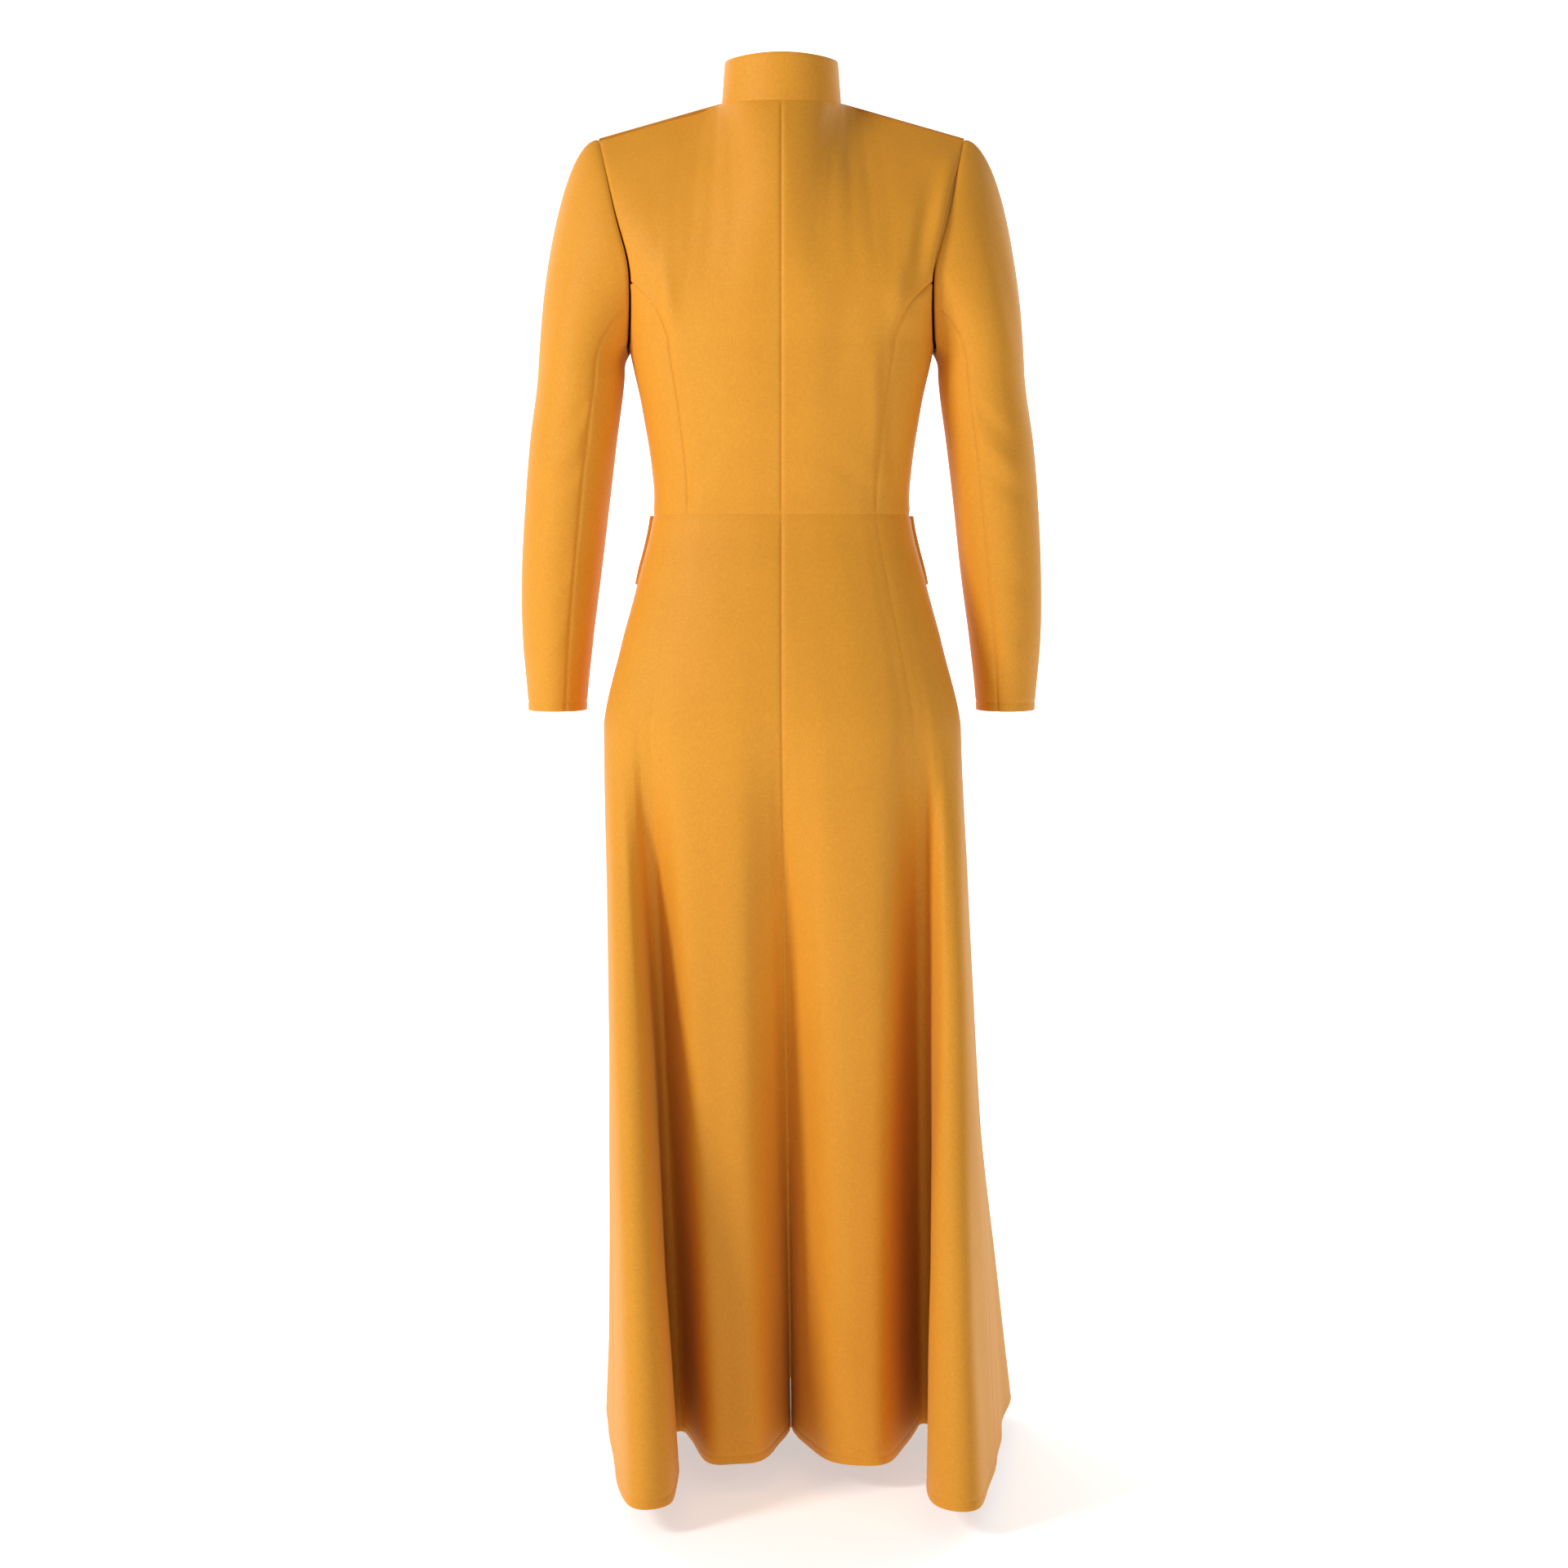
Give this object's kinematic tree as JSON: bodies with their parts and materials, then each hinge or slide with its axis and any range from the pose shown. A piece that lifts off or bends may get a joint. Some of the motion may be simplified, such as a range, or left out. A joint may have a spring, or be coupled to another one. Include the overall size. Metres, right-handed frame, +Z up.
{
  "type": "women's fitted maxi coat",
  "caption": "Fitted full-length coat with a stand collar, princess seams, hip pocket flaps, set-in sleeves and a flared skirt.",
  "frame": {"origin": "middle of the neck opening, at the height of the back neck seam, where the neck and shoulders carry the coat", "axes": "+Z up towards the collar, +Y towards the back of the coat, +X towards the wearer's left"},
  "size_m": [0.531, 0.4911, 1.4293],
  "materials": {
    "mustard_wool": "matte twill with a soft sheen",
    "lining_satin": "satin",
    "button_cover": "cloth covered dome",
    "pad_felt": "felt",
    "label_satin": "satin"
  },
  "bodies": {
    "body": {"bodice_back_left": "mustard_wool", "bodice_side_back_left": "mustard_wool", "bodice_back_lining_left": "lining_satin", "bodice_front_left": "mustard_wool", "bodice_side_front_left": "mustard_wool", "bodice_front_lining_left": "lining_satin", "skirt_back_left": "mustard_wool", "skirt_side_back_left": "mustard_wool", "skirt_side_front_left": "mustard_wool", "skirt_back_lining_left": "lining_satin", "skirt_side_lining_left": "lining_satin", "collar_back_left": "mustard_wool", "collar_front_left": "mustard_wool", "collar_facing_left": "mustard_wool", "pocket_bag_left": "lining_satin", "shoulder_pad_left": "pad_felt", "bodice_back_right": "mustard_wool", "bodice_side_back_right": "mustard_wool", "bodice_back_lining_right": "lining_satin", "bodice_front_right": "mustard_wool", "bodice_side_front_right": "mustard_wool", "bodice_front_lining_right": "lining_satin", "skirt_back_right": "mustard_wool", "skirt_side_back_right": "mustard_wool", "skirt_side_front_right": "mustard_wool", "skirt_back_lining_right": "lining_satin", "skirt_side_lining_right": "lining_satin", "collar_back_right": "mustard_wool", "collar_front_right": "mustard_wool", "collar_facing_right": "mustard_wool", "pocket_bag_right": "lining_satin", "shoulder_pad_right": "pad_felt", "button_1": "button_cover", "button_2": "button_cover", "button_3": "button_cover", "button_4": "button_cover", "button_5": "button_cover", "neck_label": "label_satin"},
    "skirt_front_panel_left": {"skirt_front_left": "mustard_wool", "skirt_front_lining_left": "lining_satin"},
    "skirt_front_panel_right": {"skirt_front_right": "mustard_wool", "skirt_front_lining_right": "lining_satin", "button_6": "button_cover", "button_7": "button_cover"},
    "hanger": {"hanger_loop": "mustard_wool"},
    "upper_sleeve_left": {"top_sleeve_upper_left": "mustard_wool", "under_sleeve_upper_left": "mustard_wool", "sleeve_lining_upper_left": "lining_satin"},
    "lower_sleeve_left": {"top_sleeve_lower_left": "mustard_wool", "under_sleeve_lower_left": "mustard_wool", "sleeve_lining_lower_left": "lining_satin"},
    "flap_left": {"pocket_flap_left": "mustard_wool"},
    "upper_sleeve_right": {"top_sleeve_upper_right": "mustard_wool", "under_sleeve_upper_right": "mustard_wool", "sleeve_lining_upper_right": "lining_satin"},
    "lower_sleeve_right": {"top_sleeve_lower_right": "mustard_wool", "under_sleeve_lower_right": "mustard_wool", "sleeve_lining_lower_right": "lining_satin"},
    "flap_right": {"pocket_flap_right": "mustard_wool"}
  },
  "joints": [
    {"name": "sleeve_left_lift", "type": "hinge", "parent": "body", "child": "upper_sleeve_left", "pos_m": [0.1845, -0.008, -0.031], "axis": [0, -1, 0], "range_deg": [0, 60]},
    {"name": "elbow_left_bend", "type": "hinge", "parent": "upper_sleeve_left", "child": "lower_sleeve_left", "pos_m": [0.2155, -0.069, -0.365], "axis": [-1, 0, 0], "range_deg": [0, 75]},
    {"name": "pocket_flap_left_lift", "type": "hinge", "parent": "body", "child": "flap_left", "pos_m": [0.1396, -0.0128, -0.41], "axis": [-0.394, -0.9191, 0], "range_deg": [0, 25]},
    {"name": "sleeve_right_lift", "type": "hinge", "parent": "body", "child": "upper_sleeve_right", "pos_m": [-0.1845, -0.008, -0.031], "axis": [0, 1, 0], "range_deg": [0, 60]},
    {"name": "elbow_right_bend", "type": "hinge", "parent": "upper_sleeve_right", "child": "lower_sleeve_right", "pos_m": [-0.2155, -0.069, -0.365], "axis": [-1, 0, 0], "range_deg": [0, 75]},
    {"name": "pocket_flap_right_lift", "type": "hinge", "parent": "body", "child": "flap_right", "pos_m": [-0.1396, -0.0128, -0.41], "axis": [-0.394, 0.9191, 0], "range_deg": [0, 25]},
    {"name": "skirt_front_left_open", "type": "hinge", "parent": "body", "child": "skirt_front_panel_left", "pos_m": [0.09, -0.077, -0.408], "axis": [-0.0706, 0.1865, 0.9799], "range_deg": [0, 70]},
    {"name": "skirt_front_right_open", "type": "hinge", "parent": "body", "child": "skirt_front_panel_right", "pos_m": [-0.09, -0.077, -0.408], "axis": [-0.1059, -0.2148, -0.9709], "range_deg": [0, 70]},
    {"name": "hanger_loop_swing", "type": "hinge", "parent": "body", "child": "hanger", "pos_m": [0, 0.0431, 0.002], "axis": [-1, 0, 0], "range_deg": [0, 60]}
  ]
}
